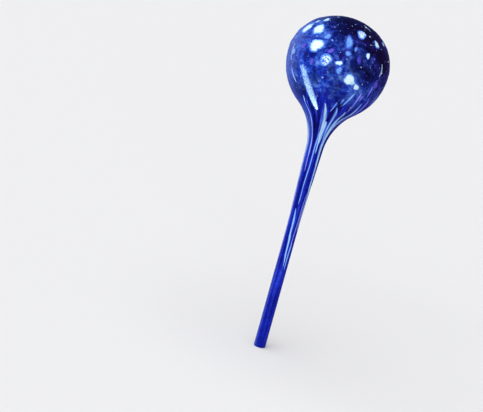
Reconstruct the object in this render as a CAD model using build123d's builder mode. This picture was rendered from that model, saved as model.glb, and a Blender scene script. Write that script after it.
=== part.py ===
# Hand-blown watering globe: a cobalt glass bulb drawn out into a long hollow stem, with chips of
# coloured glass melted onto the bulb and drawn out into streaks down the neck and the stem.
# +Z runs up the stem to the bulb, the origin is the middle of the open tip, and sizes are in millimetres.
# A turn is an angle about +Z from the front, which faces -Y, towards +X. A lift is the angle above the
# bulb's widest circle.

import os
from math import atan, cos, degrees, radians, sin, tan

from build123d import *

os.makedirs("parts", exist_ok=True)

# Vessel: outer form, from the dome's flattened crown down through its shoulder and the bowl to the stem
overall_length = 280.0
bulb_diameter = 82.0
dome_height = 37.0
bowl_radius = 47.4
bowl_angle = 49.4
neck_diameter = 13.4
stem_diameter = 9.4
stem_taper_angle = 2.0

# Vessel: glass thickness
bulb_wall = 1.8
neck_wall = 1.8
stem_wall = 1.6
tip_round = 0.6

# Chips and crumbs: melted onto the bulb, and standing a little proud of it
chip_thickness = 0.35
chip_reach = 4.0
crumb_diameter = 2.0
crumb_thickness = 0.3
crumb_count = 72
crumb_clearance = 1.2
crumb_lowest_lift = -24.0
crumb_highest_lift = 80.0
golden_angle = 137.5

# Streaks: thin ribs of glass, each widest near its top and drawn out to a fine end
streak_thickness = 0.2
streak_shoulder = 7.0
streak_fine_width = 0.5

# Places worked out from the driving sizes
bulb_radius = bulb_diameter / 2
neck_radius = neck_diameter / 2
stem_radius = stem_diameter / 2
widest_height = overall_length - dome_height

# The dome is close to half an ellipse: its crown arc has the ellipse's radius of curvature at the top, and
# its shoulder arc runs from the widest circle to the crown arc and meets both without a corner
crown_radius = bulb_radius**2 / dome_height
crown_drop = crown_radius - dome_height
shoulder_radius = dome_height * (bulb_radius + dome_height) / bulb_diameter
shoulder_middle = bulb_radius - shoulder_radius
crown_slope = bulb_diameter * (bulb_radius + dome_height) / (dome_height * (bulb_diameter + dome_height))
shoulder_angle = degrees(atan(crown_slope))
bowl_middle = bulb_radius - bowl_radius


def draw_meridian(inset, neck_inset, tube_inset):
    """Draws one meridian into the open BuildLine, from the crown to the tip's plane, and closes it along the
    axis. It lies inside the vessel's outside by the first inset at the bulb, and by its own at neck and stem."""
    neck = neck_radius - neck_inset
    tube = stem_radius - tube_inset
    bowl_line = radians(bowl_angle)
    taper = radians(stem_taper_angle)
    crown = crown_radius - inset
    CenterArc((0, widest_height - crown_drop), crown, shoulder_angle, 90 - shoulder_angle)
    CenterArc((shoulder_middle, widest_height), shoulder_radius - inset, 0, shoulder_angle)
    bowl = CenterArc((bowl_middle, widest_height), bowl_radius - inset, -bowl_angle, bowl_angle)
    flare_radius = ((bowl @ 0).X - neck) / (cos(taper) - cos(bowl_line))
    flare = JernArc(bowl @ 0, (-sin(bowl_line), -cos(bowl_line)), flare_radius, bowl_angle - stem_taper_angle)
    taper_end = (tube, (flare @ 1).Y - (neck - tube) / tan(taper))
    Polyline(flare @ 1, taper_end, (tube, 0), (0, 0), (0, overall_length - inset))


def skin_layer(thickness):
    """The layer that lies on the vessel's outside, as thick as that."""
    with BuildPart() as layer:
        with BuildSketch(Plane.XZ):
            with BuildLine():
                draw_meridian(-thickness, -thickness, -thickness)
            make_face()
            with BuildLine():
                draw_meridian(0, 0, 0)
            make_face(mode=Mode.SUBTRACT)
        revolve(axis=Axis.Z)
    return layer.part


def bulb_plane(turn, lift, slant):
    """The plane that touches the bulb at a turn and a lift, its X axis slanted from level towards the top."""
    middle, radius, drop = bowl_middle, bowl_radius, 0
    if lift > shoulder_angle:
        middle, radius, drop = 0, crown_radius, crown_drop
    elif lift > 0:
        middle, radius = shoulder_middle, shoulder_radius
    side, front = sin(radians(turn)), -cos(radians(turn))
    reach = middle + radius * cos(radians(lift))
    height = widest_height - drop + radius * sin(radians(lift))
    outward = (side * cos(radians(lift)), front * cos(radians(lift)), sin(radians(lift)))
    face = Plane(origin=(side * reach, front * reach, height), x_dir=(-front, side, 0), z_dir=outward)
    return face.rotated((0, 0, slant))


# Chips: turn, lift, length and width as shares of the bulb's radius, and slant
white_chip_shares = [
    (-74, 42, 0.26, 0.21, 80),
    (-78, 57, 0.11, 0.08, 110),
    (-51, 51, 0.34, 0.22, 125),
    (-73, 66, 0.14, 0.11, 115),
    (-34, 30, 0.28, 0.24, 78),
    (-15, 17, 0.22, 0.20, 20),
    (1, 18, 0.13, 0.09, 16),
    (17, 0, 0.24, 0.20, 12),
    (28, -7, 0.14, 0.12, 108),
    (35, 63, 0.24, 0.21, 76),
    (37, 34, 0.13, 0.07, 67),
    (61, 49, 0.15, 0.12, 60),
    (86, 46, 0.12, 0.08, 25),
    (108, 20, 0.22, 0.18, 70),
    (128, 52, 0.28, 0.20, 30),
    (139, -12, 0.13, 0.11, 80),
    (151, 8, 0.16, 0.13, 100),
    (163, 36, 0.24, 0.20, 140),
    (186, 17, 0.12, 0.10, 15),
    (192, 64, 0.18, 0.14, 60),
    (205, -8, 0.22, 0.18, 95),
    (214, 33, 0.30, 0.22, 50),
    (239, 12, 0.14, 0.11, 120),
    (246, 50, 0.22, 0.17, 80),
    (262, 28, 0.12, 0.09, 45),
]
azure_chip_shares = [
    (8, 49, 0.27, 0.13, 85),
    (19, 41, 0.10, 0.06, 77),
    (9, 33, 0.12, 0.09, 14),
    (-27, 47, 0.14, 0.11, 64),
    (3, 9, 0.14, 0.11, 106),
    (98, 3, 0.14, 0.10, 90),
    (118, 36, 0.20, 0.13, 80),
    (150, 64, 0.15, 0.11, 50),
    (172, -3, 0.14, 0.11, 100),
    (192, 43, 0.22, 0.13, 95),
    (224, 14, 0.15, 0.10, 35),
    (253, -2, 0.13, 0.10, 70),
    (-62, 8, 0.13, 0.09, 75),
]
violet_chip_shares = [
    (-13, 30, 0.14, 0.08, 31),
    (24, 27, 0.11, 0.08, 105),
    (53, -3, 0.18, 0.12, 95),
    (-30, 9, 0.10, 0.08, 110),
    (114, -8, 0.16, 0.11, 95),
    (133, 27, 0.14, 0.09, 30),
    (176, 54, 0.12, 0.08, 110),
    (214, 8, 0.13, 0.09, 80),
    (268, 10, 0.12, 0.09, 60),
    (-50, 22, 0.12, 0.08, 50),
]

chip_layer = skin_layer(chip_thickness)


def chip_prisms(chip_shares):
    """One prism through the bulb's outside for each chip of a table, added to the open BuildPart."""
    for turn, lift, length_share, width_share, slant in chip_shares:
        with BuildSketch(bulb_plane(turn, lift, slant)) as chip:
            SlotOverall(length_share * bulb_radius, width_share * bulb_radius)
        extrude(chip.sketch, amount=chip_reach, both=True)


with BuildPart() as white_chips:
    chip_prisms(white_chip_shares)
    add(chip_layer, mode=Mode.INTERSECT)
white_chips.part.label = "white_chips"

with BuildPart() as azure_chips:
    chip_prisms(azure_chip_shares)
    add(chip_layer, mode=Mode.INTERSECT)
azure_chips.part.label = "azure_chips"

with BuildPart() as violet_chips:
    chip_prisms(violet_chip_shares)
    add(chip_layer, mode=Mode.INTERSECT)
violet_chips.part.label = "violet_chips"


# Crumbs: fine grains spread evenly over the bulb, left out where a chip lies
def crumb_places():
    """The turn and lift of each crumb that keeps its clearance to every chip."""
    chips = [
        (bulb_plane(turn, lift, 0).origin, length_share * bulb_radius / 2)
        for turn, lift, length_share, _, _ in white_chip_shares + azure_chip_shares + violet_chip_shares
    ]
    places = []
    for number in range(crumb_count):
        share = (number + 1 / 2) / crumb_count
        lift = crumb_lowest_lift + share * (crumb_highest_lift - crumb_lowest_lift)
        turn = number * golden_angle
        place = bulb_plane(turn, lift, 0).origin
        gaps = [(place - middle).length - reach for middle, reach in chips]
        if min(gaps) > crumb_diameter / 2 + crumb_clearance:
            places.append((turn, lift))
    return places


with BuildPart() as white_crumbs:
    for turn, lift in crumb_places():
        with BuildSketch(bulb_plane(turn, lift, 0)):
            Circle(crumb_diameter / 2)
        extrude(amount=chip_reach, both=True)
    add(skin_layer(crumb_thickness), mode=Mode.INTERSECT)
white_crumbs.part.label = "white_crumbs"

# Streaks: turn, top and bottom as shares of the overall length, and width as a share of the neck's radius
white_streak_shares = [
    (1, 0.780, 0.600, 0.34),
    (40, 0.735, 0.420, 0.36),
    (62, 0.790, 0.660, 0.30),
    (122, 0.770, 0.560, 0.34),
    (176, 0.740, 0.330, 0.32),
    (231, 0.780, 0.620, 0.36),
    (296, 0.750, 0.480, 0.34),
    (6, 0.410, 0.255, 0.20),
]
azure_streak_shares = [
    (21, 0.775, 0.640, 0.36),
    (84, 0.745, 0.500, 0.32),
    (150, 0.775, 0.600, 0.34),
    (204, 0.750, 0.560, 0.32),
    (268, 0.765, 0.380, 0.30),
    (324, 0.780, 0.590, 0.32),
]
lavender_streak_shares = [
    (-17, 0.745, 0.300, 0.26),
    (103, 0.780, 0.640, 0.32),
    (250, 0.735, 0.540, 0.28),
    (-46, 0.560, 0.270, 0.22),
    (60, 0.600, 0.300, 0.22),
    (204, 0.520, 0.290, 0.22),
]

streak_layer = skin_layer(streak_thickness)


def streak_prisms(streak_shares):
    """One prism out through the vessel for each streak of a table, added to the open BuildPart."""
    for turn, top_share, bottom_share, width_share in streak_shares:
        level = (cos(radians(turn)), sin(radians(turn)), 0)
        outward = (sin(radians(turn)), -cos(radians(turn)), 0)
        inside = Plane(origin=(0, 0, 0), x_dir=level, z_dir=outward).offset(stem_radius - stem_wall)
        top = top_share * overall_length
        bottom = bottom_share * overall_length
        wide = width_share * neck_radius / 2
        fine = streak_fine_width / 2
        outline = [
            (-fine, top), (-wide, top - streak_shoulder), (-fine, bottom),
            (fine, bottom), (wide, top - streak_shoulder), (fine, top),
        ]
        with BuildSketch(inside) as streak:
            with BuildLine():
                Polyline(*outline, close=True)
            make_face()
        extrude(streak.sketch, amount=bulb_radius)


with BuildPart() as white_streaks:
    streak_prisms(white_streak_shares)
    add(streak_layer, mode=Mode.INTERSECT)
white_streaks.part.label = "white_streaks"

with BuildPart() as azure_streaks:
    streak_prisms(azure_streak_shares)
    add(streak_layer, mode=Mode.INTERSECT)
azure_streaks.part.label = "azure_streaks"

with BuildPart() as lavender_streaks:
    streak_prisms(lavender_streak_shares)
    add(streak_layer, mode=Mode.INTERSECT)
lavender_streaks.part.label = "lavender_streaks"

# Vessel: bulb, neck and hollow stem in one blown wall, its tip rounded in the flame
with BuildPart() as glass_vessel:
    with BuildSketch(Plane.XZ) as wall:
        with BuildLine():
            draw_meridian(0, 0, 0)
        make_face()
        with BuildLine():
            draw_meridian(bulb_wall, neck_wall, stem_wall)
        make_face(mode=Mode.SUBTRACT)
        fillet(wall.vertices().group_by(Axis.Y)[0], radius=tip_round)
    revolve(axis=Axis.Z)
glass_vessel.part.label = "glass_vessel"

for piece in (
    glass_vessel, white_chips, azure_chips, violet_chips, white_crumbs,
    white_streaks, azure_streaks, lavender_streaks,
):
    export_step(piece.part, f"parts/{piece.part.label}.step")
    print(piece.part.label, len(piece.part.solids()), "solids", round(piece.part.volume, 1), "mm3")
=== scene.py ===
from math import atan2, cos, degrees, exp, pi, radians, sin, sqrt, tan

import bpy
from mathutils import Matrix, Vector


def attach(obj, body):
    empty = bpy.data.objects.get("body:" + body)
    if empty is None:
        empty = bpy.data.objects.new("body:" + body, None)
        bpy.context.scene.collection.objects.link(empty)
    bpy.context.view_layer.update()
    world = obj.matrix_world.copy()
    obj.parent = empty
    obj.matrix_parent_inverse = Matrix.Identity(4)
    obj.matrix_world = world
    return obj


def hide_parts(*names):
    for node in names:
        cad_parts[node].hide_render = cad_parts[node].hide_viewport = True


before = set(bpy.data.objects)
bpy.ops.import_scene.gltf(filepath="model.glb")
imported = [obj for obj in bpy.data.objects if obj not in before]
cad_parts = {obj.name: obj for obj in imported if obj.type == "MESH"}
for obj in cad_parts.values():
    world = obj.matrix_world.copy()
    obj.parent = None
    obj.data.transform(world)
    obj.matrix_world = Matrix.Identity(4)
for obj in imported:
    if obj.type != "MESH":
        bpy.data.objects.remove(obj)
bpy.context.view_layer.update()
bpy.ops.object.select_all(action="DESELECT")

# Camera: the photograph's view. The stem leans to the right in the picture, and the eye is a little above
# the globe, far off behind a long lens. The picture is 483 pixels wide, and the middle of the bulb's
# widest circle stands right of the picture's middle and above it.
millimetre = 0.001
picture_width_px = 483
picture_middle_px = (241.5, 206.0)
bulb_middle_px = (338.2, 63.2)
metres_per_px = 0.7885 * millimetre
camera_lift = radians(15.2)
camera_roll = radians(15.56)
camera_distance = 5.0
sensor_width = 36.0

overall_length = 280 * millimetre
dome_height = 37 * millimetre
widest_height = overall_length - dome_height

level_right = Vector((1, 0, 0))
level_up = Vector((0, sin(camera_lift), cos(camera_lift)))
camera_back = Vector((0, -cos(camera_lift), sin(camera_lift)))
camera_right = level_right * cos(camera_roll) + level_up * sin(camera_roll)
camera_up = level_up * cos(camera_roll) - level_right * sin(camera_roll)
bulb_middle = Vector((0, 0, widest_height))
picture_middle = bulb_middle + camera_right * (picture_middle_px[0] - bulb_middle_px[0]) * metres_per_px
picture_middle -= camera_up * (picture_middle_px[1] - bulb_middle_px[1]) * metres_per_px
camera_place = bulb_middle + camera_back * camera_distance
lens_back = (camera_place - picture_middle).normalized()
lens_right = camera_up.cross(lens_back).normalized()
lens_axes = Matrix((lens_right, lens_back.cross(lens_right), lens_back)).transposed().to_4x4()
bpy.ops.object.camera_add()
camera = bpy.context.object
camera.name = "camera"
camera.matrix_world = Matrix.Translation(camera_place) @ lens_axes
camera.data.sensor_width = sensor_width
camera.data.lens = sensor_width * camera_distance / (picture_width_px * metres_per_px)
camera.data.clip_end = 4 * camera_distance
bpy.context.scene.camera = camera

# The vessel: one gather of cobalt glass, blown into a bulb and drawn out into a long hollow stem, so bulb,
# neck and stem are a single wall. It is turned here ring by ring, down the outside from the crown, round the
# tip's rim as the flame leaves it, and up the inside.
bulb_radius = 41 * millimetre
bowl_radius = 47.4 * millimetre
bowl_angle = radians(49.4)
neck_radius = 6.7 * millimetre
stem_radius = 4.7 * millimetre
stem_taper = radians(2.0)
bulb_wall = 1.8 * millimetre
neck_wall = 1.8 * millimetre
stem_wall = 1.6 * millimetre
crown_radius = bulb_radius**2 / dome_height
crown_drop = crown_radius - dome_height
shoulder_radius = dome_height * (bulb_radius + dome_height) / (2 * bulb_radius)
shoulder_middle = bulb_radius - shoulder_radius
shoulder_angle = atan2(crown_drop, shoulder_middle)
bowl_middle = bulb_radius - bowl_radius
ring_corners = 128


def meridian(inset, neck_inset, tube_inset):
    """Points (reach, height) of one meridian from the tip to just short of the crown's pole."""
    neck = neck_radius - neck_inset
    tube = stem_radius - tube_inset
    bowl = bowl_radius - inset
    bowl_foot = (bowl_middle + bowl * cos(bowl_angle), widest_height - bowl * sin(bowl_angle))
    flare_radius = (bowl_foot[0] - neck) / (cos(stem_taper) - cos(bowl_angle))
    flare_foot = bowl_foot[1] - flare_radius * (sin(bowl_angle) - sin(stem_taper))
    points = []
    taper_foot = flare_foot - (neck - tube) / tan(stem_taper)
    stem_rings = 16
    points += [(tube, taper_foot * step / stem_rings) for step in range(stem_rings)]
    taper_rings = 12
    for step in range(taper_rings):
        share = step / taper_rings
        points.append((tube + (neck - tube) * share, taper_foot + (flare_foot - taper_foot) * share))
    flare_rings = 24
    for step in range(flare_rings):
        slope = stem_taper + (bowl_angle - stem_taper) * step / flare_rings
        reach = neck + flare_radius * (cos(stem_taper) - cos(slope))
        height = flare_foot + flare_radius * (sin(slope) - sin(stem_taper))
        points.append((reach, height))
    bowl_rings = 26
    for step in range(bowl_rings):
        lift = -bowl_angle * (1 - step / bowl_rings)
        points.append((bowl_middle + bowl * cos(lift), widest_height + bowl * sin(lift)))
    shoulder_rings = 26
    shoulder = shoulder_radius - inset
    for step in range(shoulder_rings):
        lift = shoulder_angle * step / shoulder_rings
        points.append((shoulder_middle + shoulder * cos(lift), widest_height + shoulder * sin(lift)))
    crown_rings = 16
    crown = crown_radius - inset
    for step in range(crown_rings):
        lift = shoulder_angle + (pi / 2 - shoulder_angle) * step / crown_rings
        points.append((crown * cos(lift), widest_height - crown_drop + crown * sin(lift)))
    return points


def turn_rings(points, pole_height):
    """Draws the selected ring, which stands at the first point, through the others to a closed pole."""
    reach, height = points[0]
    for next_reach, next_height in points[1:]:
        bpy.ops.mesh.extrude_region_move(TRANSFORM_OT_translate={"value": (0, 0, next_height - height)})
        bpy.ops.transform.resize(value=(next_reach / reach, next_reach / reach, 1))
        reach, height = next_reach, next_height
    bpy.ops.mesh.extrude_region_move(TRANSFORM_OT_translate={"value": (0, 0, pole_height - height)})
    bpy.ops.mesh.merge(type="CENTER")


def tip_round(outer, inner):
    """Points of the tip's rim, from the stem's outside round its two corners to the inside."""
    corner = 0.55 * millimetre
    corner_steps = 4
    quarter = [radians(90) * step / corner_steps for step in range(corner_steps + 1)]
    points = [(outer - corner + corner * cos(turn), corner - corner * sin(turn)) for turn in quarter]
    points += [(inner + corner - corner * sin(turn), corner - corner * cos(turn)) for turn in quarter]
    return points


outside = meridian(0, 0, 0)
inside = meridian(bulb_wall, neck_wall, stem_wall)
crown_ring = outside[-1]
wall = outside[:0:-1] + tip_round(stem_radius, stem_radius - stem_wall) + inside[1:]
bpy.ops.mesh.primitive_circle_add(vertices=ring_corners, radius=crown_ring[0], location=(0, 0, crown_ring[1]))
bpy.ops.object.transform_apply(location=True, rotation=True, scale=True)
vessel = bpy.context.object
vessel.name = "glass_globe"
bpy.ops.object.mode_set(mode="EDIT")
bpy.ops.mesh.select_all(action="SELECT")
turn_rings(wall, pole_height=overall_length - bulb_wall)
bpy.ops.mesh.select_all(action="DESELECT")
bpy.ops.object.mode_set(mode="OBJECT")
ring_margin = 0.001 * millimetre
for vertex in vessel.data.vertices:
    vertex.select = vertex.co.z > crown_ring[1] - ring_margin
bpy.ops.object.mode_set(mode="EDIT")
turn_rings([crown_ring], pole_height=overall_length)
bpy.ops.mesh.select_all(action="SELECT")
bpy.ops.mesh.normals_make_consistent(inside=False)
bpy.ops.object.mode_set(mode="OBJECT")
bpy.ops.object.shade_smooth()


def bulb_frame(turn, lift):
    """The point of the bulb's outside at a turn and a lift, with its level, upward and outward directions."""
    turn, lift = radians(turn), radians(lift)
    middle, radius, drop = bowl_middle, bowl_radius, 0
    if lift > shoulder_angle:
        middle, radius, drop = 0, crown_radius, crown_drop
    elif lift > 0:
        middle, radius = shoulder_middle, shoulder_radius
    side = Vector((sin(turn), -cos(turn), 0))
    outward = side * cos(lift) + Vector((0, 0, sin(lift)))
    point = side * (middle + radius * cos(lift)) + Vector((0, 0, widest_height - drop + radius * sin(lift)))
    level = Vector((cos(turn), sin(turn), 0))
    return point, level, outward.cross(level), outward


def bulb_bearings(place):
    """The turn and the lift of the bulb's outside nearest to a place beside it."""
    turn = atan2(place.x, -place.y)
    reach = Vector((place.x, place.y)).length
    lift = atan2(place.z - widest_height, reach - bowl_middle)
    if lift > 0:
        lift = atan2(place.z - widest_height, reach - shoulder_middle)
    if lift > shoulder_angle:
        lift = atan2(place.z - widest_height + crown_drop, reach)
    return degrees(turn), degrees(lift)


# The glass isn't even: it is pale where frit soaked into it and dark where the cobalt lies thick, and some
# pools are painted light and shade: pale ones on the left, the lit side, and dark ones at the crown and on
# the upper right. Each pool is given by its turn, lift, reach and strength, and a dark pool's strength is
# below zero.
pools_and_painted_light = [
    (-30, 43, 3.2 * millimetre, 0.85),
    (-27, 53, 3.5 * millimetre, 0.30),
    (-34, 34, 8.0 * millimetre, 0.20),
    (2, 11, 2.8 * millimetre, 0.50),
    (8, 36, 4.0 * millimetre, 0.35),
    (-16, 38, 4.5 * millimetre, 0.22),
    (33, -23, 4.4 * millimetre, 0.45),
    (36, -31, 3.4 * millimetre, 0.35),
    (24, -13, 4.2 * millimetre, 0.60),
    (17, -24, 2.8 * millimetre, 0.75),
    (10, -32, 2.4 * millimetre, 0.75),
    (40, -17, 1.8 * millimetre, 0.90),
    (51, -6, 3.4 * millimetre, 0.40),
    (60, -22, 4.0 * millimetre, 0.35),
    # Painted light: the next two pale pools brighten the bulb's left, the side towards the light.
    (-56, 14, 7.0 * millimetre, 0.22),
    (-62, 30, 6.0 * millimetre, 0.25),
    (24, 18, 7.0 * millimetre, -0.50),
    (-8, 60, 8.0 * millimetre, -0.25),
    # Painted shade: the next three dark pools darken the crown and the upper right.
    (15, 80, 13.0 * millimetre, -0.85),
    (60, 58, 10.0 * millimetre, -0.85),
    (66, 30, 8.0 * millimetre, -0.65),
    (-6, 8, 5.0 * millimetre, -0.30),
    (6, -9, 6.5 * millimetre, -0.40),
    (-22, -8, 6.0 * millimetre, -0.30),
    (0, -20, 5.0 * millimetre, -0.30),
    (38, 9, 6.0 * millimetre, -0.45),
    (-52, -4, 5.0 * millimetre, -0.25),
    (112, 12, 7.0 * millimetre, 0.35),
    (140, 40, 8.0 * millimetre, -0.50),
    (168, 20, 6.0 * millimetre, 0.40),
    (198, -6, 8.0 * millimetre, -0.45),
    (222, 40, 7.0 * millimetre, 0.35),
    (250, 12, 8.0 * millimetre, -0.50),
    (275, 30, 6.0 * millimetre, 0.35),
]
pool_middles = [(bulb_frame(turn, lift)[0], reach, strength) for turn, lift, reach, strength in pools_and_painted_light]
pooled_and_painted_light = vessel.data.attributes.new("pooled_and_painted_light", "FLOAT", "POINT")
for vertex in vessel.data.vertices:
    pooled_here = 0.0
    for middle, reach, strength in pool_middles:
        pooled_here += exp(-((vertex.co - middle).length / reach) ** 2) * strength
    pooled_and_painted_light.data[vertex.index].value = pooled_here

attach(vessel, "root")
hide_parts("glass_vessel")

# The glass is dark cobalt with paler and darker clouds where the gather was folded. In neck and stem the
# clouds are drawn out lengthwise, so there the pattern follows the turn round the axis.


def add_node(tree, kind, **settings):
    """A new node of that kind, its properties and its sockets set by name."""
    node = tree.nodes.new(kind)
    for name, value in settings.items():
        if hasattr(node, name):
            setattr(node, name, value)
        else:
            node.inputs[name.replace("_", " ")].default_value = value
    return node


def add_ramp(tree, factor, stops):
    """A colour ramp over a factor, from its list of (place, red, green, blue)."""
    node = tree.nodes.new("ShaderNodeValToRGB")
    ramp = node.color_ramp
    while len(ramp.elements) < len(stops):
        ramp.elements.new(0.5)
    for element, (place, red, green, blue) in zip(ramp.elements, stops):
        element.position = place
        element.color = (red, green, blue, 1)
    tree.links.new(factor, node.inputs["Fac"])
    return node.outputs["Color"]


def add_math(tree, operation, first, second=0.0, third=0.0):
    """One Math node of sockets and numbers."""
    node = tree.nodes.new("ShaderNodeMath")
    node.operation = operation
    for socket, value in zip(node.inputs, (first, second, third)):
        if isinstance(value, (int, float)):
            socket.default_value = value
        else:
            tree.links.new(value, socket)
    return node.outputs["Value"]


def add_map(tree, value, low, high, low_result=0.0, high_result=1.0, curve="LINEAR"):
    """A value that lies between two numbers, spread between two others along a line or a smooth step."""
    node = add_node(tree, "ShaderNodeMapRange", interpolation_type=curve)
    names = ("From Min", "From Max", "To Min", "To Max")
    for name, number in zip(names, (low, high, low_result, high_result)):
        node.inputs[name].default_value = number
    tree.links.new(value, node.inputs["Value"])
    return node.outputs["Result"]


def add_mask(tree, factor, low, high, strength=1.0):
    """A grey that climbs to a strength while a factor goes from one number to another."""
    return add_ramp(tree, factor, [(low, 0, 0, 0), (high, strength, strength, strength)])


def mix_colours(tree, factor, first, second):
    """The second colour over the first by a factor."""
    node = tree.nodes.new("ShaderNodeMix")
    node.data_type = "RGBA"
    for socket, value in zip((node.inputs[0], node.inputs[6], node.inputs[7]), (factor, first, second)):
        if isinstance(value, (tuple, float)):
            socket.default_value = value
        else:
            tree.links.new(value, socket)
    return node.outputs[2]


def new_material(name):
    """A material with one Principled shader, its node tree and that shader."""
    material = bpy.data.materials.new(name)
    material.use_nodes = True
    return material, material.node_tree, material.node_tree.nodes["Principled BSDF"]


def object_place(tree):
    """The place of a point on its piece."""
    return add_node(tree, "ShaderNodeTexCoord").outputs["Object"]


def attribute_at(tree, name):
    """The value there of one of the piece's own attributes."""
    return add_node(tree, "ShaderNodeAttribute", attribute_name=name).outputs["Fac"]


def noise_at(tree, vector, scale, detail, distortion=0.0):
    """A noise pattern's strength over a vector."""
    node = add_node(tree, "ShaderNodeTexNoise", Scale=scale, Detail=detail, Distortion=distortion)
    tree.links.new(vector, node.inputs["Vector"])
    return node.outputs["Fac"]


def drawn_vector(tree, object_vector, lengthwise):
    """Coordinates that turn round the axis and run slowly along it, for a pattern of long drawn lines."""
    parts = add_node(tree, "ShaderNodeSeparateXYZ")
    tree.links.new(object_vector, parts.inputs[0])
    level = add_node(tree, "ShaderNodeCombineXYZ")
    tree.links.new(parts.outputs["X"], level.inputs["X"])
    tree.links.new(parts.outputs["Y"], level.inputs["Y"])
    unit = add_node(tree, "ShaderNodeVectorMath", operation="NORMALIZE")
    tree.links.new(level.outputs[0], unit.inputs[0])
    split = add_node(tree, "ShaderNodeSeparateXYZ")
    tree.links.new(unit.outputs[0], split.inputs[0])
    joined = add_node(tree, "ShaderNodeCombineXYZ")
    tree.links.new(split.outputs["X"], joined.inputs["X"])
    tree.links.new(split.outputs["Y"], joined.inputs["Y"])
    tree.links.new(add_math(tree, "MULTIPLY", parts.outputs["Z"], lengthwise), joined.inputs["Z"])
    return joined.outputs[0], parts.outputs["Z"]


def add_dot(tree, vector, direction):
    """How far a vector reaches along a direction."""
    node = add_node(tree, "ShaderNodeVectorMath", operation="DOT_PRODUCT")
    node.inputs[1].default_value = direction
    tree.links.new(vector, node.inputs[0])
    return node.outputs["Value"]


cobalt_glass, tree, shader = new_material("cobalt_glass")
place = object_place(tree)
drawn, height = drawn_vector(tree, place, lengthwise=2.2)

# Painted shade: the glass is darker towards the crown and the right, where the bulb lies in shade.
shaded_side = (0.72, 0.10, 0.75)
bulb_depth = shaded_side[2] * widest_height
depth_sway = 30 * millimetre
sway = noise_at(tree, place, scale=38.0, detail=2.0)
sway = add_math(tree, "MULTIPLY_ADD", sway, depth_sway, -depth_sway / 2)
depth = add_math(tree, "ADD", add_dot(tree, place, shaded_side), sway)
lit_depth = bulb_depth - 13 * millimetre
shaded_depth = bulb_depth + 38 * millimetre
shade_share = add_map(tree, depth, lit_depth, shaded_depth, curve="SMOOTHSTEP")

# Clouds of three sizes over one another, pale over most of the bulb and dark where the shade is painted, with
# a violet patch here and there.
broad_cloud = noise_at(tree, place, scale=34.0, detail=2.0, distortion=0.6)
coarse_cloud = noise_at(tree, place, scale=95.0, detail=4.0, distortion=1.6)
fine_cloud = noise_at(tree, place, scale=340.0, detail=3.0, distortion=0.8)
broad_cloud_share, coarse_cloud_share, fine_cloud_share = 0.30, 0.42, 0.28
cloud = add_math(tree, "MULTIPLY", broad_cloud, broad_cloud_share)
cloud = add_math(tree, "MULTIPLY_ADD", coarse_cloud, coarse_cloud_share, cloud)
cloud = add_math(tree, "MULTIPLY_ADD", fine_cloud, fine_cloud_share, cloud)
pale_clouds = add_ramp(tree, cloud, [
    (0.40, 0.010, 0.022, 0.320),
    (0.47, 0.016, 0.062, 0.760),
    (0.53, 0.045, 0.165, 0.960),
    (0.60, 0.200, 0.420, 1.000),
])
dark_clouds = add_ramp(tree, cloud, [
    (0.40, 0.001, 0.001, 0.015),
    (0.50, 0.005, 0.009, 0.130),
    (0.57, 0.018, 0.026, 0.400),
    (0.64, 0.090, 0.080, 0.600),
])
# Painted shade: the dark clouds take over towards the crown and the right.
clouds = mix_colours(tree, shade_share, pale_clouds, dark_clouds)
violet_cloud = (0.050, 0.018, 0.360, 1)
violet_patch = noise_at(tree, place, scale=110.0, detail=3.0, distortion=1.0)
violet_share = add_mask(tree, violet_patch, low=0.54, high=0.68, strength=0.5)
clouds = mix_colours(tree, violet_share, clouds, violet_cloud)

# Long lines in the drawn glass, faint in the stem and strong where the neck opens into the bowl.
broad_line = noise_at(tree, drawn, scale=3.6, detail=2.0)
fine_line = noise_at(tree, drawn, scale=13.0, detail=2.0)
broad_line_share, fine_line_share = 0.55, 0.45
line = add_math(tree, "MULTIPLY", broad_line, broad_line_share)
line = add_math(tree, "MULTIPLY_ADD", fine_line, fine_line_share, line)
faint_height, faint_contrast = 0.55 * overall_length, 0.50
strong_height, strong_contrast = 0.76 * overall_length, 1.30
contrast = add_map(tree, height, faint_height, strong_height, faint_contrast, strong_contrast)
noise_middle = 0.50
line_middle = 0.497
line = add_math(tree, "MULTIPLY_ADD", add_math(tree, "SUBTRACT", line, noise_middle), contrast, line_middle)
line_colour = add_ramp(tree, line, [
    (0.40, 0.003, 0.005, 0.170),
    (0.47, 0.007, 0.016, 0.500),
    (0.54, 0.022, 0.058, 0.860),
    (0.60, 0.200, 0.320, 1.000),
])
drawn_from = widest_height - 5 * millimetre
drawn_fully = widest_height - 26 * millimetre
drawn_share = add_map(tree, height, drawn_from, drawn_fully, curve="SMOOTHSTEP")
colour = mix_colours(tree, drawn_share, clouds, line_colour)

# The pool patches, painted light and shade among them, frayed by the clouds round them, or by the lines where
# the glass is drawn.
pool_fray = 7.0
pool_lowest = -2.5
# The dark pool colour is partly painted shade, and the pale one partly painted light.
dark_pool_colour = (0.004, 0.004, 0.050, 1)
pale_pool_colour = (0.09, 0.23, 0.95, 1)
grain_gap = add_math(tree, "SUBTRACT", fine_line, coarse_cloud)
grain = add_math(tree, "MULTIPLY_ADD", grain_gap, drawn_share, coarse_cloud)
pool = attribute_at(tree, "pooled_and_painted_light")
pool = add_math(tree, "MULTIPLY", pool, add_math(tree, "MULTIPLY_ADD", grain, pool_fray, pool_lowest))
soaked = add_mask(tree, pool, low=0.0, high=0.8)
sunk = add_mask(tree, add_math(tree, "MULTIPLY", pool, -1.0), low=0.0, high=0.7)
colour = mix_colours(tree, sunk, colour, dark_pool_colour)
colour = mix_colours(tree, soaked, colour, pale_pool_colour)
tree.links.new(colour, shader.inputs["Base Color"])

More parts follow.
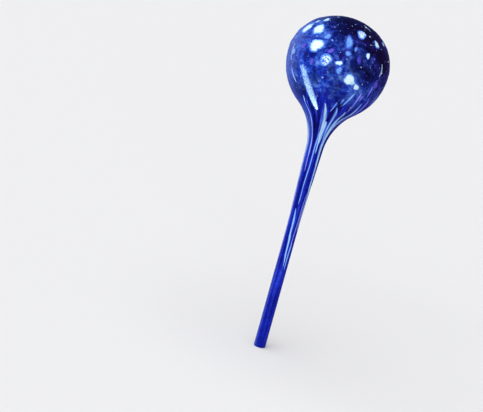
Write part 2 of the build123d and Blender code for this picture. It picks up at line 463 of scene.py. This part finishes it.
# Dark clouds are the clearest, and pale ones let the least light through.
dark_cloud, clearest = 0.44, 0.70
pale_cloud, cloudiest = 0.62, 0.25
clearness = add_map(tree, cloud, dark_cloud, pale_cloud, clearest, cloudiest)
tree.links.new(clearness, shader.inputs["Transmission Weight"])
shader.inputs["Roughness"].default_value = 0.03
shader.inputs["IOR"].default_value = 1.5


def dress(piece, material):
    """Gives a piece its one material."""
    piece.data.materials.clear()
    piece.data.materials.append(material)


dress(vessel, cobalt_glass)

# The chips: bits of opaque frit that the hot gather was rolled in. Each melted into a low dome with a soft
# edge, sunk a little into the wall. One chip is modelled here, and every other is a copy of it that follows
# the bulb's curve at its own place, with an outline of its own.

# A row gives a chip's turn and lift in degrees, its length and its width as shares of the bulb's radius, and
# the slant of its length from level.
white_chip_shares = [
    (-74, 42, 0.26, 0.21, 80),
    (-78, 57, 0.11, 0.08, 110),
    (-51, 51, 0.30, 0.20, 125),
    (-73, 66, 0.14, 0.11, 115),
    (-34, 30, 0.28, 0.24, 78),
    (-15, 17, 0.22, 0.20, 20),
    (1, 18, 0.13, 0.09, 16),
    (17, 0, 0.24, 0.20, 12),
    (27, -6, 0.14, 0.12, 108),
    (35, 63, 0.20, 0.17, 76),
    (37, 34, 0.13, 0.07, 67),
    (61, 49, 0.15, 0.12, 60),
    (86, 46, 0.12, 0.08, 25),
    (108, 20, 0.22, 0.18, 70),
    (128, 52, 0.28, 0.20, 30),
    (139, -12, 0.13, 0.11, 80),
    (151, 8, 0.16, 0.13, 100),
    (163, 36, 0.24, 0.20, 140),
    (186, 17, 0.12, 0.10, 15),
    (192, 64, 0.18, 0.14, 60),
    (205, -8, 0.22, 0.18, 95),
    (214, 33, 0.30, 0.22, 50),
    (239, 12, 0.14, 0.11, 120),
    (246, 50, 0.22, 0.17, 80),
    (262, 28, 0.12, 0.09, 45),
]
azure_chip_shares = [
    (8, 49, 0.27, 0.13, 85),
    (19, 41, 0.10, 0.06, 77),
    (9, 33, 0.12, 0.09, 14),
    (-27, 47, 0.14, 0.11, 64),
    (3, 9, 0.14, 0.11, 106),
    (98, 3, 0.14, 0.10, 90),
    (118, 36, 0.20, 0.13, 80),
    (150, 64, 0.15, 0.11, 50),
    (172, -3, 0.14, 0.11, 100),
    (192, 43, 0.22, 0.13, 95),
    (224, 14, 0.15, 0.10, 35),
    (253, -2, 0.13, 0.10, 70),
    (-62, 8, 0.13, 0.09, 75),
]
violet_chip_shares = [
    (-13, 30, 0.14, 0.08, 31),
    (24, 27, 0.11, 0.08, 105),
    (53, -3, 0.18, 0.12, 95),
    (-30, 9, 0.10, 0.08, 110),
    (114, -8, 0.16, 0.11, 95),
    (133, 27, 0.14, 0.09, 30),
    (176, 54, 0.12, 0.08, 110),
    (214, 8, 0.13, 0.09, 80),
    (268, 10, 0.12, 0.09, 60),
    (-50, 22, 0.12, 0.08, 50),
]
chip_rise = 0.32 * millimetre

# A blank's ring is given by its reach and its height, and an outline's wave by how many go round it, how far
# it shifts from chip to chip, and how high it is.
chip_corners = 20
chip_rings = [(1.00, -1.2), (1.03, -0.5), (1.00, 0.0), (0.90, 0.5), (0.70, 0.85), (0.36, 0.98)]
outline_waves = [(2, 2.4, 1.2), (3, 4.1, 1.0), (5, 1.7, 0.4)]
tint_step = 1.7
tint_start = -0.65


def seat_on_bulb(place, rise):
    """The point of the bulb's outside nearest to a place beside it, raised by that much."""
    point, _, _, outward = bulb_frame(*bulb_bearings(place))
    return point + outward * rise


def model_blank(corners, rings):
    """A chip of unit size: a closed dome, drawn ring by ring from its sunk foot to the top."""
    foot = (0, 0, rings[0][1])
    bpy.ops.mesh.primitive_circle_add(vertices=corners, radius=1, fill_type="NGON", location=foot)
    bpy.ops.object.transform_apply(location=True, rotation=True, scale=True)
    blank = bpy.context.object
    bpy.ops.object.mode_set(mode="EDIT")
    bpy.ops.mesh.select_all(action="DESELECT")
    bpy.ops.mesh.primitive_circle_add(vertices=corners, radius=1, location=foot)
    turn_rings(rings, pole_height=1.0)
    bpy.ops.mesh.select_all(action="SELECT")
    bpy.ops.mesh.remove_doubles(threshold=1e-4)
    bpy.ops.mesh.normals_make_consistent(inside=False)
    bpy.ops.object.mode_set(mode="OBJECT")
    return blank


def copy_blank(blank):
    """A copy of a blank with a mesh of its own."""
    piece = blank.copy()
    piece.data = blank.data.copy()
    bpy.context.collection.objects.link(piece)
    return piece


def join_copies(name, copies):
    """One object, of that name, of all the copies."""
    bpy.ops.object.select_all(action="DESELECT")
    for piece in copies:
        piece.select_set(True)
    bpy.context.view_layer.objects.active = copies[0]
    bpy.ops.object.join()
    joined = bpy.context.object
    joined.name = name
    return joined


def melt_chips(name, rows, blank, material, rise, uneven, halo=1.0, levels=1):
    """One object of all the chips of a table, each a copy of the blank laid on the bulb's curve. The halo is
    how far the soaked rim reaches, as a multiple of the chip."""
    copies = []
    for number, (turn, lift, length_share, width_share, slant) in enumerate(rows):
        chip = copy_blank(blank)
        core = chip.data.attributes.new("core", "FLOAT", "POINT")
        tint = chip.data.attributes.new("tint", "FLOAT", "POINT")
        point, level, upward, _ = bulb_frame(turn, lift)
        along = level * cos(radians(slant)) + upward * sin(radians(slant))
        across = upward * cos(radians(slant)) - level * sin(radians(slant))
        for vertex in chip.data.vertices:
            bearing = atan2(vertex.co.y, vertex.co.x)
            reach = 1.0
            for count, shift, height in outline_waves:
                reach += uneven * height * sin(count * bearing + shift * number)
            core.data[vertex.index].value = max(0.0, 1 - vertex.co.xy.length)
            tint.data[vertex.index].value = 0.5 + 0.5 * sin(tint_step * number + tint_start)
            place = point + along * (vertex.co.x * reach * halo * length_share * bulb_radius / 2)
            place += across * (vertex.co.y * reach * halo * width_share * bulb_radius / 2)
            vertex.co = seat_on_bulb(place, vertex.co.z * rise)
        copies.append(chip)
    chips = join_copies(name, copies)
    if levels:
        smoothing = chips.modifiers.new("smooth", "SUBSURF")
        smoothing.levels = smoothing.render_levels = levels
        bpy.ops.object.modifier_apply(modifier="smooth")
    bpy.ops.object.shade_smooth()
    dress(chips, material)
    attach(chips, "root")
    return chips


def frit_material(name, rim, halo, body, heart):
    """Opaque frit. Its thin rim soaks into the cobalt, and some chips are broken up by blue that ran in."""
    grain_share = 0.7
    deepest_core = 0.46
    breaking_power = 6.0
    material, tree, shader = new_material(name)
    place = object_place(tree)
    core = attribute_at(tree, "core")
    tint = attribute_at(tree, "tint")
    grain = noise_at(tree, place, scale=480.0, detail=3.0, distortion=0.5)
    grain = add_math(tree, "SUBTRACT", grain, noise_middle)
    core = add_math(tree, "MINIMUM", core, deepest_core)
    depth = add_math(tree, "MULTIPLY_ADD", grain, grain_share, core)
    ramp = add_ramp(tree, depth, [(0.00, *rim), (0.15, *halo), (0.30, *body), (0.44, *heart)])
    veins = noise_at(tree, place, scale=620.0, detail=1.0, distortion=1.0)
    cracks = add_mask(tree, veins, low=0.48, high=0.54)
    broken = add_math(tree, "MULTIPLY", cracks, add_math(tree, "POWER", tint, breaking_power))
    tree.links.new(mix_colours(tree, broken, ramp, (*halo, 1)), shader.inputs["Base Color"])
    shader.inputs["Roughness"].default_value = 0.18
    shader.inputs["Coat Weight"].default_value = 1.0
    return material


white_frit = frit_material(
    "white_frit",
    rim=(0.015, 0.045, 0.48),
    halo=(0.07, 0.20, 0.80),
    body=(0.38, 0.70, 0.94),
    heart=(0.76, 0.94, 1.0),
)
azure_frit = frit_material(
    "azure_frit",
    rim=(0.01, 0.03, 0.34),
    halo=(0.03, 0.09, 0.55),
    body=(0.06, 0.17, 0.72),
    heart=(0.15, 0.36, 0.86),
)
violet_frit = frit_material(
    "violet_frit",
    rim=(0.01, 0.015, 0.24),
    halo=(0.022, 0.026, 0.38),
    body=(0.038, 0.034, 0.46),
    heart=(0.10, 0.08, 0.60),
)
chip_blank = model_blank(chip_corners, chip_rings)
white_chips = melt_chips(
    "white_frit_chips", white_chip_shares, chip_blank, white_frit, chip_rise, uneven=0.09, halo=1.24
)
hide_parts("white_chips")
azure_chips = melt_chips(
    "azure_frit_chips", azure_chip_shares, chip_blank, azure_frit, chip_rise, uneven=0.09, halo=1.28
)
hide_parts("azure_chips")
violet_chips = melt_chips(
    "violet_frit_chips", violet_chip_shares, chip_blank, violet_frit, chip_rise, uneven=0.10, halo=1.28
)
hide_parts("violet_chips")
bpy.data.objects.remove(chip_blank)

# The crumbs and the dust: finer grains of the same frit, scattered over the bulb, the crumbs clear of the
# chips. They melted down to flecks of every size and colour, most of them tinted by the cobalt over them.
golden_angle = 137.5
crumb_reach = 1.0 * millimetre
crumb_count = 72
crumb_clearance = 1.2 * millimetre
crumb_lowest_lift = -24.0
crumb_highest_lift = 80.0
crumb_length_shares = (0.45, 1.00)
crumb_width_shares = (0.35, 0.80)
crumb_slant_step = 61.0
crumb_rise = 0.25 * millimetre
crumb_corners = 12
crumb_rings = [(1.00, -1.0), (1.00, 0.0), (0.85, 0.55), (0.50, 0.90)]
dust_count = 340
dust_lowest_lift = -34.0
dust_highest_lift = 76.0
dust_turn_sway = 9.0
dust_lift_sway = 3.0
dust_length_shares = (0.010, 0.030)
dust_width_shares = (0.008, 0.020)
dust_slant_step = 47.0
dust_rise = 0.12 * millimetre
dust_corners = 7
dust_rings = [(1.00, -0.8), (1.00, 0.2), (0.60, 0.8)]


def spiral_place(number, count, lowest_lift, highest_lift):
    """The turn and lift of one grain of an even spiral over the bulb."""
    share = (number + 1 / 2) / count
    return number * golden_angle, lowest_lift + share * (highest_lift - lowest_lift)


def scattered(least, most, angle, rarity=1):
    """A number between two others that jumps about as the angle grows. Rarity makes large ones rare."""
    return least + (most - least) * abs(sin(angle)) ** rarity


chip_places = [
    (bulb_frame(turn, lift)[0], length_share * bulb_radius / 2)
    for turn, lift, length_share, _, _ in white_chip_shares + azure_chip_shares + violet_chip_shares
]
crumb_share = 2 * crumb_reach / bulb_radius
crumb_rows = []
for number in range(crumb_count):
    turn, lift = spiral_place(number, crumb_count, crumb_lowest_lift, crumb_highest_lift)
    gaps = [(bulb_frame(turn, lift)[0] - middle).length - reach for middle, reach in chip_places]
    if min(gaps) > crumb_reach + crumb_clearance:
        length = crumb_share * scattered(*crumb_length_shares, 3.7 * number)
        width = crumb_share * scattered(*crumb_width_shares, 5.3 * number + 1)
        crumb_rows.append((turn, lift, length, width, crumb_slant_step * number))
dust_rows = []
for number in range(dust_count):
    turn, lift = spiral_place(number, dust_count, dust_lowest_lift, dust_highest_lift)
    turn += dust_turn_sway * sin(12.9 * number)
    lift += dust_lift_sway * sin(7.7 * number)
    length = scattered(*dust_length_shares, 3.1 * number, rarity=2)
    width = scattered(*dust_width_shares, 4.3 * number + 2, rarity=2)
    dust_rows.append((turn, lift, length, width, dust_slant_step * number))

crumb_frit, tree, shader = new_material("crumb_frit")
heart = add_ramp(tree, attribute_at(tree, "tint"), [
    (0.25, 0.03, 0.08, 0.52),
    (0.62, 0.12, 0.13, 0.62),
    (0.88, 0.24, 0.46, 0.88),
    (0.99, 0.85, 0.95, 1.00),
])
soaked_edge = (0.03, 0.07, 0.45, 1)
heart_share = add_mask(tree, attribute_at(tree, "core"), low=0.02, high=0.30)
tree.links.new(mix_colours(tree, heart_share, soaked_edge, heart), shader.inputs["Base Color"])
shader.inputs["Roughness"].default_value = 0.40

crumb_blank = model_blank(crumb_corners, crumb_rings)
crumbs = melt_chips("frit_crumbs", crumb_rows, crumb_blank, crumb_frit, crumb_rise, uneven=0.10)
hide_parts("white_crumbs")
bpy.data.objects.remove(crumb_blank)
dust_blank = model_blank(dust_corners, dust_rings)
dust = melt_chips("frit_dust", dust_rows, dust_blank, crumb_frit, dust_rise, uneven=0.12, levels=0)
bpy.data.objects.remove(dust_blank)

# The streaks: frit that lay low on the gather and was pulled out with it, so each runs down the glass from
# the bowl into neck or stem, widest near its top and fine at its end. A slab is drawn out once here, and
# every streak is a copy of it bent to the glass.

# A row gives the turns of a streak's top and bottom in degrees, their heights as shares of the overall
# length, and the streak's width as a share of the neck's radius.
# Painted highlight: the rows (31, 62), (-9, 16) and (62, 60) lie along bright lines of mirrored light on the
# neck's right and down the stem, so these streaks are partly painted highlights.
white_streak_and_highlight_shares = [
    (-2, 14, 0.780, 0.600, 0.36),
    (31, 62, 0.765, 0.420, 0.36),
    (46, 44, 0.800, 0.560, 0.28),
    (122, 126, 0.770, 0.560, 0.34),
    (176, 170, 0.740, 0.330, 0.32),
    (231, 236, 0.780, 0.620, 0.36),
    (296, 290, 0.750, 0.480, 0.34),
    (-9, 16, 0.370, 0.255, 0.22),
    (11, 16, 0.712, 0.628, 0.46),
    (62, 60, 0.530, 0.360, 0.16),
]
azure_streak_shares = [
    (15, 32, 0.775, 0.640, 0.34),
    (4, -6, 0.700, 0.440, 0.15),
    (-15, 14, 0.430, 0.250, 0.22),
    (34, 33, 0.330, 0.240, 0.18),
    (84, 90, 0.745, 0.500, 0.32),
    (150, 146, 0.775, 0.600, 0.34),
    (204, 208, 0.750, 0.560, 0.32),
    (268, 262, 0.765, 0.380, 0.30),
    (324, 330, 0.780, 0.590, 0.18),
    (28, 20, 0.830, 0.780, 0.34),
    (12, 8, 0.792, 0.752, 0.24),
    (18, 17, 0.806, 0.788, 0.26),
]
lavender_streak_shares = [
    (-34, -26, 0.735, 0.540, 0.16),
    (103, 108, 0.780, 0.640, 0.32),
    (250, 246, 0.735, 0.540, 0.28),
    (-68, -62, 0.560, 0.270, 0.14),
    (44, 32, 0.480, 0.300, 0.13),
    (204, 200, 0.520, 0.290, 0.22),
    (55, 54, 0.812, 0.700, 0.26),
    (68, 66, 0.790, 0.700, 0.20),
    (37, 33, 0.835, 0.762, 0.34),
    (50, 47, 0.864, 0.815, 0.34),
    (40, 39, 0.825, 0.803, 0.24),
]
shoulder_share = 0.22
streak_fine_width = 0.5 * millimetre
streak_least_width = 0.1 * millimetre
streak_halo = 1.5
streak_rise = 0.18 * millimetre
streak_sink = 0.25 * millimetre
streak_end = 4.0 * millimetre
streak_sway = 0.15 * millimetre
streak_swing_per_metre = 190.0
streak_swing_step = 3.0
streak_columns = 6
streak_steps = 72

bpy.ops.mesh.primitive_grid_add(x_subdivisions=streak_columns, y_subdivisions=streak_steps, size=2)
streak_blank = bpy.context.object
bpy.ops.object.mode_set(mode="EDIT")
bpy.ops.mesh.select_all(action="SELECT")
bpy.ops.mesh.extrude_region_move(TRANSFORM_OT_translate={"value": (0, 0, 1)})
bpy.ops.mesh.select_all(action="SELECT")
bpy.ops.mesh.normals_make_consistent(inside=False)
bpy.ops.object.mode_set(mode="OBJECT")


def reach_at(height):
    """The reach of the vessel's outside at a height below its widest circle."""
    for (low_reach, low), (high_reach, high) in zip(outside, outside[1:]):
        if low <= height <= high:
            return low_reach + (high_reach - low_reach) * (height - low) / (high - low)
    return bulb_radius


def draw_streaks(name, rows, material):
    """One object of all the streaks of a table, each a copy of the slab bent to the glass."""
    copies = []
    for number, (top_turn, bottom_turn, top_share, bottom_share, width_share) in enumerate(rows):
        streak = copy_blank(streak_blank)
        core = streak.data.attributes.new("core", "FLOAT", "POINT")
        top, bottom = top_share * overall_length, bottom_share * overall_length
        wide, fine = width_share * neck_radius / 2, streak_fine_width / 2
        shoulder = shoulder_share * (top - bottom)
        for vertex in streak.data.vertices:
            across, down = vertex.co.x, (1 - vertex.co.y) / 2
            height = top - (top - bottom) * down
            turn = top_turn + (bottom_turn - top_turn) * down
            if height > top - shoulder:
                half = wide * sqrt(max(0.0, top - height) / shoulder)
            else:
                half = fine + (wide - fine) * (height - bottom) / (top - shoulder - bottom)
            half *= streak_halo * min(1.0, sqrt(max(0.0, height - bottom) / streak_end))
            half = max(half, streak_least_width / 2)
            reach = reach_at(height)
            sway = streak_sway * sin(height * streak_swing_per_metre + streak_swing_step * number)
            around = radians(turn) + (across * half + sway) / reach
            rise = streak_rise * (1 - across**2) if vertex.co.z > 0.5 else -streak_sink
            core.data[vertex.index].value = (1 - abs(across)) * min(1.0, half / fine)
            vertex.co = ((reach + rise) * sin(around), -(reach + rise) * cos(around), height)
        copies.append(streak)
    streaks = join_copies(name, copies)
    bpy.ops.object.shade_smooth_by_angle(angle=radians(50))
    dress(streaks, material)
    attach(streaks, "root")
    return streaks


def streak_material(name, rim, body, heart):
    """Frit drawn out: fine lines of it run along the streak, and its sides fade into the cobalt."""
    spread = 1.1
    material, tree, shader = new_material(name)
    place = object_place(tree)
    drawn, _ = drawn_vector(tree, place, lengthwise=4.0)
    core = attribute_at(tree, "core")
    lines = noise_at(tree, drawn, scale=14.0, detail=3.0)
    lines = add_math(tree, "MULTIPLY_ADD", lines, spread, -spread / 2)
    ramp = add_ramp(tree, add_math(tree, "ADD", core, lines), [(0.00, *rim), (0.40, *body), (0.80, *heart)])
    tree.links.new(ramp, shader.inputs["Base Color"])
    shader.inputs["Roughness"].default_value = 0.15
    shader.inputs["Coat Weight"].default_value = 1.0
    return material


white_drawn = streak_material(
    "white_drawn", rim=(0.012, 0.035, 0.62), body=(0.12, 0.30, 0.95), heart=(0.50, 0.78, 1.0)
)
azure_drawn = streak_material(
    "azure_drawn", rim=(0.012, 0.035, 0.60), body=(0.06, 0.17, 0.85), heart=(0.30, 0.58, 1.0)
)
lavender_drawn = streak_material(
    "lavender_drawn", rim=(0.012, 0.022, 0.56), body=(0.05, 0.08, 0.76), heart=(0.32, 0.36, 0.96)
)
white_streaks = draw_streaks("white_drawn_streaks", white_streak_and_highlight_shares, white_drawn)
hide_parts("white_streaks")
azure_streaks = draw_streaks("azure_drawn_streaks", azure_streak_shares, azure_drawn)
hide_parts("azure_streaks")
lavender_streaks = draw_streaks("lavender_drawn_streaks", lavender_streak_shares, lavender_drawn)
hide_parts("lavender_streaks")
bpy.data.objects.remove(streak_blank)

# Floor: a wide pale sheet under the tip, which the glass doesn't mirror.
floor_radius = 8.0
floor_corners = 96
bpy.ops.mesh.primitive_circle_add(vertices=floor_corners, radius=floor_radius, fill_type="NGON")
floor = bpy.context.object
floor.name = "floor"
pale, tree, shader = new_material("pale_floor")
shader.inputs["Base Color"].default_value = (0.76, 0.76, 0.77, 1)
shader.inputs["Roughness"].default_value = 0.9
shader.inputs["Specular IOR Level"].default_value = 0.1
dress(floor, pale)
floor.visible_glossy = False

# Light: an even soft light from above and a fainter one from the front, neither of them mirrored, and bright
# strips beside the bulb. Each strip is shaped so that its mirror image lies on the glass where the photograph
# shows a reflection, and none hangs lower than the neck, so the stem doesn't mirror them.
sky_breadth = radians(70)


def add_sky(name, tilt, energy):
    """A wide soft light from far off, tilted from overhead, with no mirror image of its own."""
    bpy.ops.object.light_add(type="SUN", rotation=tilt)
    sky = bpy.context.object
    sky.name = name
    sky.data.energy = energy
    sky.data.angle = sky_breadth
    sky.visible_glossy = False
    sky.visible_transmission = False


add_sky("overhead_sky", tilt=(radians(12), radians(-14), 0), energy=2.4)
add_sky("front_sky", tilt=(radians(72), 0, radians(-20)), energy=1.6)
strip_farthest = 160 * millimetre
strip_lowest = 190 * millimetre
strip_start_share = 0.60
strip_columns = 4
strip_steps = 24
strip_glow = (0.50, 0.80, 1.0, 1)


def add_strip(name, start, bend, end, width, strength, lead):
    """A glowing strip whose mirror image on the bulb runs from one (turn, lift) to another, bowed towards a
    third, and is about as wide as given. Its start glows with the lead's share of the strength."""
    bpy.ops.mesh.primitive_grid_add(x_subdivisions=strip_columns, y_subdivisions=strip_steps, size=2)
    strip = bpy.context.object
    strip.name = name
    fade = strip.data.attributes.new("fade", "FLOAT", "POINT")
    start, bend, end = Vector(start), Vector(bend), Vector(end)
    for vertex in strip.data.vertices:
        across, share = vertex.co.x, (1 - vertex.co.y) / 2
        turn, lift = start * (1 - share) ** 2 + bend * (2 * share * (1 - share)) + end * share**2
        slope = (bend - start) * (1 - share) + (end - bend) * share
        point, level, upward, _ = bulb_frame(turn, lift)
        along = (level * slope.x * cos(radians(lift)) + upward * slope.y).normalized()
        sideways = along.cross(level.cross(upward))
        half = width / 2 * min(1.0, strip_start_share + share) * sqrt(1 - share**3)
        point, _, _, outward = bulb_frame(*bulb_bearings(point + sideways * across * half))
        to_camera = (camera_place - point).normalized()
        mirrored = outward * (2 * outward.dot(to_camera)) - to_camera
        distance = strip_farthest
        if mirrored.z < 0:
            distance = min(distance, (point.z - strip_lowest) / -mirrored.z)
        vertex.co = point + mirrored * distance
        fade.data[vertex.index].value = (1 - across**4) * (lead + (1 - lead) * share)
    glow, tree, shader = new_material(name + "_glow")
    faded = attribute_at(tree, "fade")
    shader.inputs["Base Color"].default_value = (0, 0, 0, 1)
    shader.inputs["Emission Color"].default_value = strip_glow
    tree.links.new(add_math(tree, "MULTIPLY", faded, strength), shader.inputs["Emission Strength"])
    dress(strip, glow)
    strip.visible_camera = False
    strip.visible_diffuse = False
    strip.visible_transmission = False
    strip.visible_shadow = False


# A row gives a strip's name, where it starts, bends and ends, its width, its strength and its lead.
strips = [
    ("window_strip", (-41.5, -1), (-24.5, -18), (-13.3, -46.5), 8.2 * millimetre, 22.0, 0.45),
    ("left_rim_strip", (-68, 17), (-68, 6), (-62, -4), 4.0 * millimetre, 4.0, 0.8),
    ("left_bowl_strip", (-58, -10), (-54, -15), (-47, -21), 2.8 * millimetre, 8.0, 0.6),
    ("right_rim_strip", (61, 23), (61, 15), (56, 6), 2.4 * millimetre, 6.0, 0.8),
    ("crown_strip", (88, 75), (80, 72), (75, 65), 1.6 * millimetre, 3.0, 0.8),
]
for strip in strips:
    add_strip(*strip)

# The studio round the globe. The glass mirrors it as dark violet, and bright towards the left. It lights
# everything softly with an even grey, and is nearly white where it is seen itself.
world = bpy.data.worlds.new("studio")
bpy.context.scene.world = world
world.use_nodes = True
tree = world.node_tree
background = tree.nodes["Background"]
direction = add_node(tree, "ShaderNodeTexCoord").outputs["Generated"]
bright_side = (-0.80, 0.55, -0.10)
studio = add_ramp(tree, add_dot(tree, direction, bright_side), [
    (0.00, 0.060, 0.030, 0.120),
    (0.55, 0.020, 0.030, 0.120),
    (0.84, 0.240, 0.360, 0.800),
    (1.00, 0.700, 0.880, 1.400),
])
soft_grey = (0.26, 0.26, 0.26, 1)
backdrop = (0.93, 0.93, 0.93, 1)
rays = add_node(tree, "ShaderNodeLightPath")
surround = mix_colours(tree, rays.outputs["Is Diffuse Ray"], studio, soft_grey)
surround = mix_colours(tree, rays.outputs["Is Camera Ray"], surround, backdrop)
tree.links.new(surround, background.inputs["Color"])
bpy.context.scene.view_settings.view_transform = "Standard"
